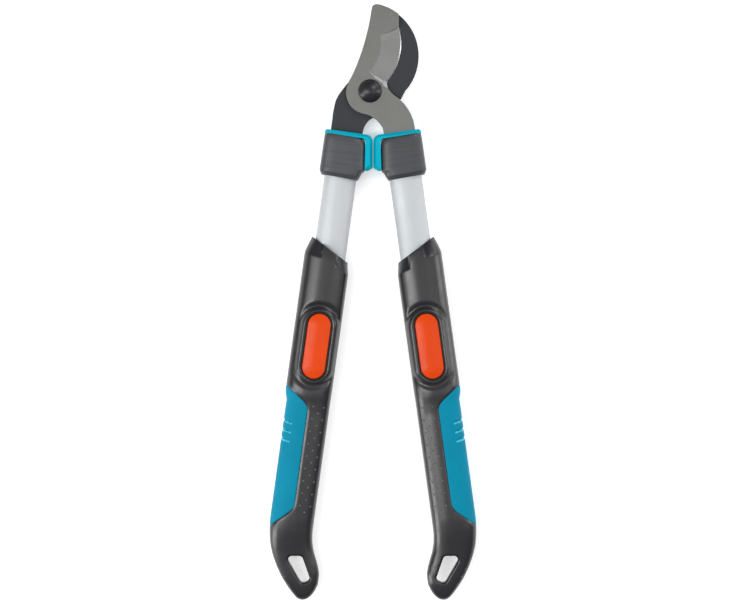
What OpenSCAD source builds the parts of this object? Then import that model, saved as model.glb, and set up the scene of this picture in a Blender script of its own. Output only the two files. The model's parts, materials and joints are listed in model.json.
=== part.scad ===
// Telescopic bypass loppers, lying on their back with the jaws closed.
// X runs across the tool, +Y points from the grips to the jaws, +Z up from the table.
// The two handles mirror each other about X = 0. Lengths are in millimetres.
// In a handle's own frame, x runs from the outer side to the inner side, y is minus the
// distance s down the handle from the top of its collar, and z is the height.

/* [Overall] */
// Lean of each handle from the centre line with the jaws closed, in degrees
handle_tilt = 7.8; // [7.6:0.1:8]
// Height of the middle plane of the handles above the table
mid_z = 15.5; // [15.5:0.1:16]
// How far each handle telescopes
travel = 150; // [100:25:150]

/* [Jaws] */
// Thickness of the cutting blade
blade_t = 4.2; // [3.5:0.1:4.5]
// Thickness of the hook blade
hook_t = 5; // [4:0.1:5.5]
// Gap between the two blades
blade_gap = 0.1; // [0.05:0.05:0.2]
// Radius of the pivot bolt's shank
shank_r = 5; // [4:0.5:6]
// Radius of the pivot bolt's domed head
head_r = 10.2; // [9:0.1:11]
// Height of the dome above the head's rim
dome_h = 5.2; // [4:0.1:6]

/* [Tubes] */
// Width of the oval tube
tube_w = 28.4; // [28:0.1:29]
// Thickness of the oval tube
tube_h = 18; // [17:0.1:18.4]
// Wall of the oval tube
tube_wall = 1.5; // [1.2:0.1:2]
// Pitch of the lock holes along the tube
lock_pitch = 25; // [25:25:50]

/* [Handles] */
// Half thickness of the sleeve at its middle
sleeve_half = 15.5; // [15:0.1:15.5]
// Thickness of the soft grip pad
pad_t = 2.2; // [1.8:0.1:2.6]
// Length of the rocker button
rocker_l = 57; // [55:0.5:58]
// Width of the rocker button
rocker_w = 20.2; // [19:0.1:20.6]
// Thickness of the collar that holds a blade in its tube
collar_h = 29; // [27:0.5:30]

/* [Hidden] */
$fn = 64;

STEEL = [0.52, 0.51, 0.49];
BLACK_STEEL = [0.2, 0.21, 0.23];
ALUMINIUM = [0.82, 0.84, 0.85];
GREY_PLASTIC = [0.26, 0.26, 0.28];
BLACK_PLASTIC = [0.12, 0.12, 0.13];
BLUE_RUBBER = [0.05, 0.65, 0.76];
ORANGE_PLASTIC = [0.93, 0.33, 0.06];

// Frames. The pivot's y puts the origin at the middle of the tool's length.
pivot = [-2.6, 184.67];
handle_origin = [-23.3, pivot[1] - 37.5];

// Heights in the stack at the pivot, from the mating plane of the blades.
hook_z = mid_z - blade_gap - hook_t;
head_washer_t = 0.6;
nut_washer_t = 1;
nut_h = 6;
nut_flats = 17;
ring_h = 1.4;
blade_top = mid_z + blade_t;

// Distances s down the handle from the top of the collar.
tube_start = 4;
tube_end = 342;
tang_end = 46;
tang_pin_s = [14, 30];
tang_pin_r = 2.5;
rocker_s = 187.5;
lock_x = -0.5;            // the rocker, its pin and the lock holes lie on this line
tooth_s = rocker_s - 21.5;
spring_s = rocker_s + 20.5;
liner_start = 114;
liner_end = 171.7;
cavity_end = 348;

fit_gap = 0.05;          // a pin in its bore, a plug in its tube, or a washer on a turning blade
slide_gap = 0.15;        // a moulded part that slides
liner_t = 0.75;
tooth_r = 4;
tooth_gap = 0.3;         // round the tooth in a lock hole

// Curves.
function arc(c, r, a0, a1, steps) =
    [for (i = [0:steps]) let (a = a0 + (a1 - a0) * i / steps) c + r * [cos(a), sin(a)]];
function bend(p0, p1, p2, p3, t) =
    0.5 * (2 * p1 + (p2 - p0) * t + (2 * p0 - 5 * p1 + 4 * p2 - p3) * t * t
    + (3 * p1 - p0 - 3 * p2 + p3) * t * t * t);
function smooth(p, steps = 5) = [
    for (i = [0:len(p) - 2], k = [0:steps - 1])
        bend(p[max(i - 1, 0)], p[i], p[i + 1], p[min(i + 2, len(p) - 1)], k / steps),
    p[len(p) - 1]
];
function power(x, n) = sign(x) * pow(abs(x), n);
function oval(a, b, n = 2, steps = 48) = [
    for (i = [0:steps - 1]) let (t = 360 * i / steps)
        [a * power(cos(t), 2 / n), b * power(sin(t), 2 / n)]
];
function rounded_box(w, h, r, steps = 6) = concat(
    arc([w / 2 - r, h / 2 - r], r, 0, 90, steps), arc([r - w / 2, h / 2 - r], r, 90, 180, steps),
    arc([r - w / 2, r - h / 2], r, 180, 270, steps), arc([w / 2 - r, r - h / 2], r, 270, 360, steps)
);
// A handle's own point in the tool's frame: side is -1 for the left handle and 1 for the right.
function in_handle(side, s, x) = [
    -side * (handle_origin[0] - s * sin(handle_tilt) + x * cos(handle_tilt)),
    handle_origin[1] - s * cos(handle_tilt) - x * sin(handle_tilt)
];

module in_left() translate([handle_origin[0], handle_origin[1], 0]) rotate(-handle_tilt) children();
module in_right() mirror([1, 0, 0]) in_left() children();
// Extrudes an outline drawn as [x, height] along the handle from s0 to s1.
module along(s0, s1) translate([0, -s0, 0]) rotate([90, 0, 0]) linear_extrude(s1 - s0) children();
module pill(l, w) {
    for (y = [-1, 1]) translate([0, y * (l - w) / 2]) circle(d = w);
    square([w, l - w], center = true);
}
module pill_prism(l, w, z0, z1, s = rocker_s, x = 0)
    translate([x, -s, z0]) linear_extrude(z1 - z0) pill(l, w);
module tube_oval(grow) translate([0, mid_z]) polygon(oval(tube_w / 2 + grow, tube_h / 2 + grow, 2.2));

// Jaws. Outlines are about the pivot.
BACK_ARC_C = [-3.6, 31];   // centre of the round back that both blades share
BACK_ARC_R = 46.4;
EDGE_C = [-25, 42];        // centre of the cutting edge, and of the ground face behind it
EDGE_R = 52.3;
GROUND_R = 34.5;           // where the ground face starts
EDGE_LAND = 0.5;           // how thick the blade is at its edge
OVERLAP = 4.5;             // how far the closed blade has passed the hook's edge
TANG_W = 28;
STRAP_W = 18;

function moved(points) = [for (p = points) p + pivot];
blade_outline = concat(
    moved(concat(
        smooth([[-18.5, 8.5], [-15, 15], [-10, 27], [-5, 42], [-1, 58], [1, 70]]),
        [[1.7, 73.5], [2.9, 75.3], [5, 76.2]],
        arc(BACK_ARC_C, BACK_ARC_R, 76, 51.8, 8),
        arc(EDGE_C, EDGE_R, 15.5, -37.8, 18),
        [[15, 8]],
        smooth([[14.8, 5.5], [16, 2], [20, -2.8], [25.5, -6.9], [30.5, -12], [34.8, -18.4], [37.7, -25.2],
            [39.2, -32]])
    )),
    [in_handle(1, tube_start, -TANG_W / 2), in_handle(1, tube_start, TANG_W / 2)],
    moved(smooth([[12, -37], [11.2, -33], [9, -29.2], [6, -25.8], [2.5, -23.2], [-2, -21], [-6, -20],
        [-11, -18.2], [-15, -15.2], [-18.3, -10.8], [-20.2, -6], [-20.9, -1], [-20.3, 4]]))
);
hook_outline = concat(
    moved(concat(
        smooth([[-34.2, -32.5], [-33.3, -26], [-32.4, -19], [-31.3, -13], [-29.8, -7.5], [-27, -2.4],
            [-23, 3], [-19, 7.8], [-14, 12.8], [-8, 16.3], [-2, 17.4], [4, 16.2], [9, 13.2]]),
        arc(EDGE_C, EDGE_R - OVERLAP, -37, 16, 16),
        smooth([[19.6, 59.5], [17.6, 64], [15, 68.4]]),
        [[14.2, 71], [15.2, 72.6], [17.4, 72.5]],
        arc(BACK_ARC_C, BACK_ARC_R - 0.2, 61, -42, 26),
        smooth([[27.5, -6.2], [22, -12.6], [15, -17.8], [8, -21.6], [2.2, -23.6], [-0.8, -25.4],
            [-3.5, -28.6], [-5.4, -32.4], [-6.6, -37]])
    )),
    [in_handle(-1, tube_start, TANG_W / 2), in_handle(-1, tube_start, -TANG_W / 2)]
);

module tang_strap(z0, z1) difference() {
    translate([-STRAP_W / 2, -tang_end, z0]) cube([STRAP_W, tang_end - tube_start + 0.01, z1 - z0]);
    for (s = tang_pin_s) translate([0, -s, z0 - 1]) cylinder(r = tang_pin_r + fit_gap, h = z1 - z0 + 2);
}
module pivot_bore(z0, z1)
    translate([pivot[0], pivot[1], z0 - 1]) cylinder(r = shank_r + fit_gap, h = z1 - z0 + 2);

module cutting_blade() color(STEEL) difference() {
    union() {
        translate([0, 0, mid_z]) linear_extrude(blade_t) polygon(blade_outline);
        in_right() tang_strap(mid_z, blade_top);
    }
    pivot_bore(mid_z, blade_top);
    // The ground face slopes from the blade's front down to its cutting edge.
    translate([pivot[0] + EDGE_C[0], pivot[1] + EDGE_C[1], 0]) rotate(-41)
        rotate_extrude(angle = 54) polygon([[GROUND_R, blade_top], [EDGE_R, mid_z + EDGE_LAND],
            [EDGE_R + 9, mid_z + EDGE_LAND], [EDGE_R + 9, blade_top + 1], [GROUND_R, blade_top + 1]]);
}
module hook_blade() color(BLACK_STEEL) difference() {
    union() {
        translate([0, 0, hook_z]) linear_extrude(hook_t) polygon(hook_outline);
        in_left() tang_strap(hook_z, hook_z + hook_t);
    }
    pivot_bore(hook_z, hook_z + hook_t);
}
module pivot_bolt() color(BLACK_STEEL) translate([pivot[0], pivot[1], 0]) {
    rim_h = 0.8;
    dome_r = (head_r * head_r + dome_h * dome_h) / (2 * dome_h);
    head_z = blade_top + fit_gap + head_washer_t;
    shank_z = hook_z - nut_washer_t - nut_h - 1;
    translate([0, 0, shank_z]) cylinder(r = shank_r, h = head_z - shank_z + rim_h / 2);
    translate([0, 0, head_z]) cylinder(r = head_r, h = rim_h);
    intersection() {
        translate([0, 0, head_z + rim_h + dome_h - dome_r]) sphere(r = dome_r);
        translate([0, 0, head_z + rim_h - 0.01]) cylinder(r = head_r, h = dome_h + 1);
    }
}
module washer(r, z, t) translate([pivot[0], pivot[1], z]) difference() {
    cylinder(r = r, h = t);
    translate([0, 0, -1]) cylinder(r = shank_r + fit_gap, h = t + 2);
}
module head_washer() color(BLACK_PLASTIC) washer(9, blade_top + fit_gap, head_washer_t);
module nut_washer() color(STEEL) washer(10, hook_z - nut_washer_t, nut_washer_t);
module lock_nut() color(STEEL) translate([pivot[0], pivot[1], hook_z - nut_washer_t - nut_h]) difference() {
    cylinder(d = nut_flats / cos(30), h = nut_h, $fn = 6);
    translate([0, 0, -1]) cylinder(r = shank_r + fit_gap, h = nut_h + 2);
    translate([0, 0, -1]) cylinder(r = shank_r + 1.5, h = ring_h + 1);
}
module nut_locking_ring() color(BLUE_RUBBER) translate([pivot[0], pivot[1], hook_z - nut_washer_t - nut_h])
    difference() {
        cylinder(r = shank_r + 1.5, h = ring_h);
        translate([0, 0, -1]) cylinder(r = shank_r, h = ring_h + 2);
    }

// Tubes and collars, in a handle's own frame. low and high bound the blade's tang in height.
module tube() color(ALUMINIUM) difference() {
    along(tube_start, tube_end) tube_oval(0);
    along(tube_start - 1, tube_end + 1) tube_oval(-tube_wall);
    for (s = tang_pin_s) translate([0, -s, 0]) cylinder(r = tang_pin_r + fit_gap, h = 2 * mid_z);
    for (s = [tooth_s:lock_pitch:tooth_s + travel])
        translate([lock_x, -s, mid_z]) cylinder(r = tooth_r + tooth_gap, h = mid_z);
}
module tang_space(low, high, s0, s1)
    translate([-TANG_W / 2 - 0.1, -s1, low - fit_gap])
        cube([TANG_W + 0.2, s1 - s0, high - low + 2 * fit_gap]);
COLLAR_OUT = -19;
COLLAR_IN = 20.1;
COLLAR_END = 39;
// Its front outline: the inner side runs beside the buffer, and its lower corner is cut off.
collar_outline = concat(
    [[-16.8, -37.8], [-18.3, -37.3], [COLLAR_OUT, -35.6], [-18.7, -3], [-18.2, -2.1]],
    [[13, -2.2]], smooth([[14.6, -2.5], [16.3, -3.4], [17.3, -5], [17.7, -7]], 3),
    [[COLLAR_IN, -29.3], [18.2, -31.8], [17.4, -34], [16, -38.2], [14.2, -COLLAR_END]]
);
module collar(low, high) color(GREY_PLASTIC) difference() {
    intersection() {
        linear_extrude(collar_h) polygon(collar_outline);
        translate([(COLLAR_OUT + COLLAR_IN) / 2, 0, 0]) along(0, COLLAR_END + 1) translate([0, collar_h / 2])
            polygon(rounded_box(COLLAR_IN - COLLAR_OUT, collar_h, 7));
    }
    along(tube_start - 0.05, COLLAR_END + 1) tube_oval(0.05);
    tang_space(low, high, 1, tube_start);
}
BUFFER_TOP = -1.8;
BUFFER_END = 29.4;
// Where the closed buffers meet: the plane X = 0, less half of the gap between them.
function meet_x(s) = (-handle_origin[0] + s * sin(handle_tilt)) / cos(handle_tilt) - 0.25;
buffer_outline = concat(
    [[COLLAR_OUT + 0.8, -2.05], [COLLAR_OUT, 0.4], [COLLAR_OUT + 2.2, -BUFFER_TOP], [16.5, -BUFFER_TOP]],
    smooth([[18.5, 1.6], [21, 0.3], [22.8, -2.2], [meet_x(5.5), -5.5]], 4),
    [[meet_x(27), -27], [meet_x(27) - 1.6, -BUFFER_END], [COLLAR_IN + 0.05, -BUFFER_END]],
    smooth([[17.75, -7], [17.35, -5], [16.33, -3.36], [14.6, -2.45]], 3), [[13, -2.15]]
);
module buffer(low, high) color(BLUE_RUBBER) difference() {
    translate([0, 0, 2.2]) linear_extrude(collar_h - 4.4) polygon(buffer_outline);
    tang_space(low, high, -9, 5);
}
module tang_insert(low, high) color(BLACK_PLASTIC) difference() {
    along(tube_start, tang_end + 6) tube_oval(-tube_wall - fit_gap);
    translate([-STRAP_W / 2 - fit_gap, -tang_end - fit_gap, low - fit_gap])
        cube([STRAP_W + 2 * fit_gap, tang_end, high - low + 2 * fit_gap]);
    for (s = tang_pin_s) translate([0, -s, 0]) cylinder(r = tang_pin_r + fit_gap, h = 2 * mid_z);
}
module tang_pins() color(STEEL) for (s = tang_pin_s)
    translate([0, -s, mid_z - tube_h / 2 + 0.2]) cylinder(r = tang_pin_r, h = tube_h - 0.4);
module end_guide() color(BLACK_PLASTIC) difference() {
    along(tube_end - 20, tube_end + 3) tube_oval(1 - slide_gap);
    along(tube_end - 21, tube_end) tube_oval(fit_gap);
}
module liner() color(BLACK_PLASTIC) difference() {
    along(liner_start + 0.05, liner_end) tube_oval(slide_gap + liner_t);
    along(liner_start - 1, liner_end + 1) tube_oval(slide_gap);
    translate([lock_x, -tooth_s, mid_z]) cylinder(r = tooth_r + 1.2, h = mid_z);
}

// Sleeves. Each station is [s, lean, outer x, inner x, half thickness]; lean tips the
// station, so that its inner side is further down the handle than its outer side.
stations = [
    [102.6, 0.55, -17, 16.2, 11.6], [115.5, 0.38, -22.2, 18.3, sleeve_half],
    [130, 0, -22.2, 18.3, sleeve_half], [222, 0, -22.4, 18.2, sleeve_half], [230, 0, -22.2, 18.1, 15.3],
    [238, 0, -20, 18, 14.5], [248, 0, -20.4, 18, 14],
    [338, 0, -20.4, 17.9, 14], [348, 0, -20.1, 18, 13.5], [356, 0, -19.1, 18.7, 12.6],
    [364, 0, -17.4, 20.6, 11.4], [372, 0, -14.6, 23.9, 10.3], [380, 0, -10.8, 27.2, 9.5],
    [387, 0, -6.7, 28.8, 9], [393, 0, -2.6, 28.8, 8.5], [398, 0, 1.5, 27.6, 7.8],
    [402.5, 0, 5.6, 25.7, 6.8], [406, 0, 9.2, 23.2, 5.4], [408.4, 0, 12.2, 20.4, 3.5],
    [409.4, 0, 14.6, 17.9, 1.6]
];
SIDES = 44;
SECTION_POWER = 2.5;
BACK_EXTRA = 0.7;          // the back is cut off flat by this much
function at_s(s, k, i = 0) = s <= stations[i + 1][0] || i == len(stations) - 2
    ? let (t = (s - stations[i][0]) / (stations[i + 1][0] - stations[i][0]))
        stations[i][k] * (1 - t) + stations[i + 1][k] * t
    : at_s(s, k, i + 1);
// One point of a section at angle a, sunk by inset below the surface. Nothing lies below the table.
function section_point(s, a, inset = 0) = let (
    out = at_s(s, 2) + inset, inn = at_s(s, 3) - inset, half = at_s(s, 4),
    x = (out + inn) / 2 + (inn - out) / 2 * power(cos(a), 2 / SECTION_POWER),
    h = half + (sin(a) < 0 ? BACK_EXTRA : 0) - inset
) [x, -s - at_s(s, 1) * x, max(mid_z + h * power(sin(a), 2 / SECTION_POWER), mid_z - half + inset)];
function ring(s, inset = 0) = [for (i = [0:SIDES - 1]) section_point(s, 360 * i / SIDES, inset)];
function wall_faces(rings, sides) = [for (r = [0:rings - 2], i = [0:sides - 1]) let (
    a = r * sides + i, b = r * sides + (i + 1) % sides) each [[a, a + sides, b], [b, a + sides, b + sides]]];
module skin(rings) {
    sides = len(rings[0]);
    last = (len(rings) - 1) * sides;
    polyhedron(
        points = [for (r = rings) each r],
        faces = concat([[for (i = [0:sides - 1]) i]], wall_faces(len(rings), sides),
            [[for (i = [sides - 1:-1:0]) last + i]]),
        convexity = 6
    );
}
// The pad covers the outer side of the grip, from the front round to the back.
pad_outline = concat(
    [[-32, -217.2], [-22, -224.3], [-6, -235.7]],
    smooth([[-4.2, -237.2], [-2, -239.7], [-0.8, -243], [-0.5, -248]], 3),
    smooth([[-0.5, -322], [-0.7, -326.5], [-2, -331], [-4.5, -334.2]], 3),
    [[-20, -348.2], [-32, -359]]
);
module pad_region(gap) linear_extrude(60) offset(delta = -gap) polygon(pad_outline);
// What is left of the sleeve under the pad.
module pad_core(gap) skin([for (st = stations) if (st[0] > 220 && st[0] < 360) ring(st[0], pad_t + gap)]);
WINDOW_L = rocker_l + 3.4;
WINDOW_W = rocker_w + 3.4;
BEZEL_Z = 31.4;
module sleeve() color(GREY_PLASTIC) difference() {
    union() {
        skin([for (st = stations) ring(st[0])]);
        // A raised surround for the rocker.
        translate([-0.6, -rocker_s, 0]) hull() {
            translate([0, 0, BEZEL_Z - 1]) linear_extrude(1) pill(WINDOW_L + 2.4, WINDOW_W + 2.4, $fn = 32);
            translate([0, 0, 24]) linear_extrude(1) pill(WINDOW_L + 18, WINDOW_W + 13, $fn = 32);
        }
    }
    along(liner_start, cavity_end) tube_oval(1);
    along(80, liner_start + 1) tube_oval(0.3);
    pill_prism(WINDOW_L, WINDOW_W, mid_z, 40, rocker_s, -0.5);
    hang_hole();
    difference() {
        pad_region(0);
        pad_core(fit_gap);
    }
}
// The tapered hole in the end of the handle.
module hang_hole() translate([0, 0, -1]) linear_extrude(60) hull() {
    translate([3.6, -375.6]) circle(r = 3.6, $fn = 32);
    translate([9.6, -374.8]) circle(r = 3.6, $fn = 32);
    translate([15.4, -390.4]) circle(r = 3.8, $fn = 32);
    translate([16.9, -389.6]) circle(r = 3.8, $fn = 32);
}
module grip_pad() color(BLUE_RUBBER) difference() {
    intersection() {
        skin([for (st = stations) if (st[0] > 200 && st[0] < 370) ring(st[0])]);
        pad_region(fit_gap);
    }
    pad_core(0);
}

// Lock. The frame sits in the sleeve's window and carries the rocker on its pin.
FRAME_Z = mid_z + tube_h / 2 + 1.05;
FLOOR_T = 0.8;
PIN_Z = 28.6;
PIN_R = 1.25;
CHEEK_X = 6.4;
CHEEK_T = 1.8;
HUB_W = 8.6;
HUB_R = 2.2;
ROCKER_TOP = 32;
TOOTH_Z = mid_z + tube_h / 2 - 1.6;
TOOTH_TOP = 30.5;
SPRING_TOP = 30.2;
// An upright block across the pin, t wide.
module cheek_bar(x, t, s_half, z0, z1)
    translate([x - t / 2, -rocker_s - s_half, z0]) cube([t, 2 * s_half, z1 - z0]);
PIN_L = 14.4;
module cross_pin(l, r)
    translate([lock_x - l / 2, -rocker_s, PIN_Z]) rotate([0, 90, 0]) cylinder(r = r, h = l);
module lock_frame() color(BLACK_PLASTIC) difference() {
    union() {
        difference() {
            pill_prism(WINDOW_L - 0.1, WINDOW_W - 0.1, FRAME_Z, BEZEL_Z + 0.2, rocker_s, lock_x);
            pill_prism(rocker_l + 0.9, rocker_w + 0.9, FRAME_Z + FLOOR_T, 40, rocker_s, lock_x);
        }
        for (side = [-1, 1])
            cheek_bar(lock_x + side * CHEEK_X, CHEEK_T, 2.4, FRAME_Z + FLOOR_T / 2, PIN_Z + 1.6);
    }
    cross_pin(PIN_L + 0.8, PIN_R + fit_gap);
    translate([lock_x, -tooth_s, FRAME_Z - 1]) cylinder(r = tooth_r + 1.2, h = 4);
}
module rocker() color(ORANGE_PLASTIC) difference() {
    union() {
        pill_prism(rocker_l, rocker_w, ROCKER_TOP - 2.8, ROCKER_TOP - 0.8, rocker_s, lock_x);
        pill_prism(rocker_l - 1.6, rocker_w - 1.6, ROCKER_TOP - 0.8, ROCKER_TOP, rocker_s, lock_x);
        cheek_bar(lock_x, HUB_W, HUB_R, PIN_Z, ROCKER_TOP - 1);
        cross_pin(HUB_W, HUB_R);
    }
    // Room for the two cheeks, the tooth and the spring.
    for (side = [-1, 1])
        cheek_bar(lock_x + side * CHEEK_X, CHEEK_T + 0.8, 3.4, FRAME_Z, PIN_Z + 2.1);
    cross_pin(PIN_L + 0.8, PIN_R + fit_gap);
    translate([lock_x, -tooth_s, mid_z]) cylinder(r = tooth_r + 0.02, h = TOOTH_TOP + 0.05 - mid_z);
    translate([lock_x, -spring_s, mid_z]) cylinder(r = 3.9, h = SPRING_TOP - mid_z);
}
module rocker_pin() color(STEEL) cross_pin(PIN_L, PIN_R);
module lock_tooth() color(STEEL) translate([lock_x, -tooth_s, 0]) {
    translate([0, 0, TOOTH_Z]) cylinder(r1 = tooth_r - 0.4, r2 = tooth_r, h = 0.5);
    translate([0, 0, TOOTH_Z + 0.5]) cylinder(r = tooth_r, h = TOOTH_TOP - TOOTH_Z - 0.5);
}
SPRING_R = 3;
WIRE_R = 0.3;
SPRING_TURNS = 2.5;
SPRING_LOW = FRAME_Z + FLOOR_T + WIRE_R + 0.02;
function wire_ring(i, count, low, high) = let (
    a = 360 * SPRING_TURNS * i / count, z = low + (high - low) * i / count
) [
    for (k = [0:7]) let (b = 45 * k, r = SPRING_R + WIRE_R * cos(b))
        [r * cos(a), r * sin(a), z + WIRE_R * sin(b)]
];
module lock_spring() color(STEEL) translate([lock_x, -spring_s, 0])
    skin([for (i = [40:-1:0]) wire_ring(i, 40, SPRING_LOW, SPRING_TOP - WIRE_R - 0.02)]);

hook_low = hook_z;
hook_high = hook_z + hook_t;
cutting_blade();
hook_blade();
pivot_bolt();
head_washer();
nut_washer();
lock_nut();
nut_locking_ring();
in_left() tube();  // left_tube
in_left() collar(hook_low, hook_high);  // left_collar
in_left() buffer(hook_low, hook_high);  // left_buffer
in_left() tang_insert(hook_low, hook_high);  // left_tang_insert
in_left() tang_pins();  // left_tang_pins
in_left() end_guide();  // left_end_guide
in_left() sleeve();  // left_sleeve
in_left() grip_pad();  // left_grip_pad
in_left() liner();  // left_liner
in_left() lock_frame();  // left_lock_frame
in_left() rocker();  // left_rocker
in_left() rocker_pin();  // left_rocker_pin
in_left() lock_tooth();  // left_lock_tooth
in_left() lock_spring();  // left_lock_spring
in_right() tube();  // right_tube
in_right() collar(mid_z, blade_top);  // right_collar
in_right() buffer(mid_z, blade_top);  // right_buffer
in_right() tang_insert(mid_z, blade_top);  // right_tang_insert
in_right() tang_pins();  // right_tang_pins
in_right() end_guide();  // right_end_guide
in_right() sleeve();  // right_sleeve
in_right() grip_pad();  // right_grip_pad
in_right() liner();  // right_liner
in_right() lock_frame();  // right_lock_frame
in_right() rocker();  // right_rocker
in_right() rocker_pin();  // right_rocker_pin
in_right() lock_tooth();  // right_lock_tooth
in_right() lock_spring();  // right_lock_spring
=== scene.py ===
"""Telescopic bypass loppers: the looks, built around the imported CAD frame.

Shapes are drawn in millimetres. A handle's own frame has x from its outer to its inner side, y minus the
distance s down the handle from the top of its collar, and z the height above the table.
"""

import json
from math import acos, atan2, cos, degrees, pi, radians, sin, sqrt, tan

import bmesh
import bpy
import numpy as np
from mathutils import Matrix, Vector
from mathutils.geometry import convex_hull_2d


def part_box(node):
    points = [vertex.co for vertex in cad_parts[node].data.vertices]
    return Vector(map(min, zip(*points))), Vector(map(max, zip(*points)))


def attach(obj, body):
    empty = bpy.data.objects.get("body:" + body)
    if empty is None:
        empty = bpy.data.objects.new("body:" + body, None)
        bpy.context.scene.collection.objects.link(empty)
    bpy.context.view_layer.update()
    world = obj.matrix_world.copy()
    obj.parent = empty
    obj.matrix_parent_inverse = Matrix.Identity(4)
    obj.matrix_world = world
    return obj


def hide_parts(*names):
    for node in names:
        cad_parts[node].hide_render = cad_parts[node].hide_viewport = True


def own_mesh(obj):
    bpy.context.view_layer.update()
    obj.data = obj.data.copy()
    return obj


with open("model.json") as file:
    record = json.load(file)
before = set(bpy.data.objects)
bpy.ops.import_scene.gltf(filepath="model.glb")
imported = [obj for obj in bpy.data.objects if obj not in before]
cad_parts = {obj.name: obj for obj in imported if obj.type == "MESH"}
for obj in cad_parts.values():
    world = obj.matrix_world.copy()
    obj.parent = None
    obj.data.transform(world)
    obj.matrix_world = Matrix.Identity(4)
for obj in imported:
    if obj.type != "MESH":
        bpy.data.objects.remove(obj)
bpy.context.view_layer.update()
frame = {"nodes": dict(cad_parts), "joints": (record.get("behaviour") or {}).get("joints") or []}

# ---------- frames
MM = 0.001
JOINTS = {joint["name"]: joint for joint in frame["joints"]}
NODES = frame["nodes"]
PIVOT = Vector(JOINTS["jaw_pivot"]["pos_m"]) / MM
MID_Z = PIVOT.z

ROCKER_S = 187.5
ROCKER_X = -0.5
ACROSS = Vector(JOINTS["left_lock_button"]["axis"])
DOWN = Vector(JOINTS["left_telescope"]["axis"])
ROCKER_PIN = Vector(JOINTS["left_lock_button"]["pos_m"]) / MM
HANDLE_ORIGIN = ROCKER_PIN - ROCKER_S * DOWN - ROCKER_X * ACROSS
HANDLE_ORIGIN.z = 0
HANDLE_TILT = atan2(-DOWN.x, -DOWN.y)

TO_METRES = Matrix.Scale(MM, 4)
IN_LEFT = Matrix.Translation(HANDLE_ORIGIN) @ Matrix((ACROSS, -DOWN, (0, 0, 1))).transposed().to_4x4()
IN_RIGHT = Matrix.Diagonal((-1, 1, 1, 1)) @ IN_LEFT
SIDES = {"left": TO_METRES @ IN_LEFT, "right": TO_METRES @ IN_RIGHT}
TILTS = {"left": HANDLE_TILT, "right": -HANDLE_TILT}

BLADE_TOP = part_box("cutting_blade")[1].z / MM
HOOK_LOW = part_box("hook_blade")[0].z / MM
HOOK_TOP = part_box("hook_blade")[1].z / MM
SHANK_R = 5
TANG_PIN_R = 2.5
TANG_PIN_S = (14, 30)
FIT = 0.05
# heights well below and well above the whole tool, for cutters that go right through
UNDER, OVER = -3, 40


# ---------- curves
norm = np.linalg.norm


def smooth_curve(table, column, at):
    """Values of one column of a station table, joined by monotone cubics."""
    x = np.array([row[0] for row in table], float)
    y = np.array([row[column] for row in table], float)
    slope = np.diff(y) / np.diff(x)
    tangent = np.zeros_like(y)
    inner = slope[1:] * slope[:-1] > 0
    tangent[1:-1][inner] = 2 * (slope[1:] * slope[:-1])[inner] / (slope[1:] + slope[:-1])[inner]
    tangent[0], tangent[-1] = slope[0], slope[-1]
    at = np.clip(at, x[0], x[-1])
    i = np.clip(np.searchsorted(x, at) - 1, 0, len(x) - 2)
    h = x[i + 1] - x[i]
    t = (at - x[i]) / h
    return (
        y[i] * (1 + 2 * t) * (1 - t) ** 2
        + tangent[i] * h * t * (1 - t) ** 2
        + y[i + 1] * t * t * (3 - 2 * t)
        + tangent[i + 1] * h * t * t * (t - 1)
    )


def smoothstep(low, high, value):
    t = np.clip((value - low) / (high - low), 0, 1)
    return t * t * (3 - 2 * t)


def smooth_max(a, b, width):
    """The larger of a and b, with a fillet of about that width where they cross."""
    h = np.clip(0.5 + 0.5 * (a - b) / width, 0, 1)
    return b + (a - b) * h + width * h * (1 - h)


def signed_power(value, exponent):
    return np.sign(value) * np.abs(value) ** exponent


def signed_distance(polygon, x, y):
    """Distance of each point to a polygon's outline, negative inside."""
    a = np.asarray(polygon, float)
    b = np.roll(a, -1, axis=0)
    px, py = np.ravel(x)[:, None], np.ravel(y)[:, None]
    ex, ey = b[:, 0] - a[:, 0], b[:, 1] - a[:, 1]
    wx, wy = px - a[:, 0], py - a[:, 1]
    t = np.clip((wx * ex + wy * ey) / (ex * ex + ey * ey), 0, 1)
    nearest = np.hypot(wx - t * ex, wy - t * ey).min(axis=1)
    crosses = (a[:, 1] > py) != (b[:, 1] > py)
    at = a[:, 0] + (py - a[:, 1]) * ex / np.where(ey == 0, 1e-9, ey)
    inside = (crosses & (px < at)).sum(axis=1) % 2 == 1
    return np.where(inside, -nearest, nearest).reshape(np.shape(x))


def hull_of_circles(circles):
    """The convex outline round some circles (x, y, radius)."""
    angles = [2 * pi * k / 48 for k in range(48)]
    points = [(x + r * cos(a), y + r * sin(a)) for x, y, r in circles for a in angles]
    return [points[i] for i in convex_hull_2d(points)]


def oval(a, b, power, steps):
    """A superellipse outline as (x, z) pairs about the origin, anticlockwise."""
    t = np.arange(steps) * 2 * pi / steps
    return np.stack([a * signed_power(np.cos(t), 2 / power), b * signed_power(np.sin(t), 2 / power)], 1)


def pill(half_length, radius):
    """A pill outline in x and y about the origin, anticlockwise, its length along y."""
    steps = 32
    straight = half_length - radius
    top = [(radius * cos(a), straight + radius * sin(a)) for a in np.linspace(0, pi, steps)]
    low = [(-x, -y) for x, y in top]
    return np.array(top + low)


def rectangle(x0, y0, x1, y1):
    return [(x0, y0), (x1, y0), (x1, y1), (x0, y1)]


# ---------- meshes
def add_object(name, data):
    obj = bpy.data.objects.new(name, data)
    bpy.context.scene.collection.objects.link(obj)
    return obj


def mesh_object(name, points, faces):
    mesh = bpy.data.meshes.new(name)
    mesh.from_pydata([tuple(p) for p in np.asarray(points, float)], [], faces)
    mesh.update()
    return add_object(name, mesh)


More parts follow.
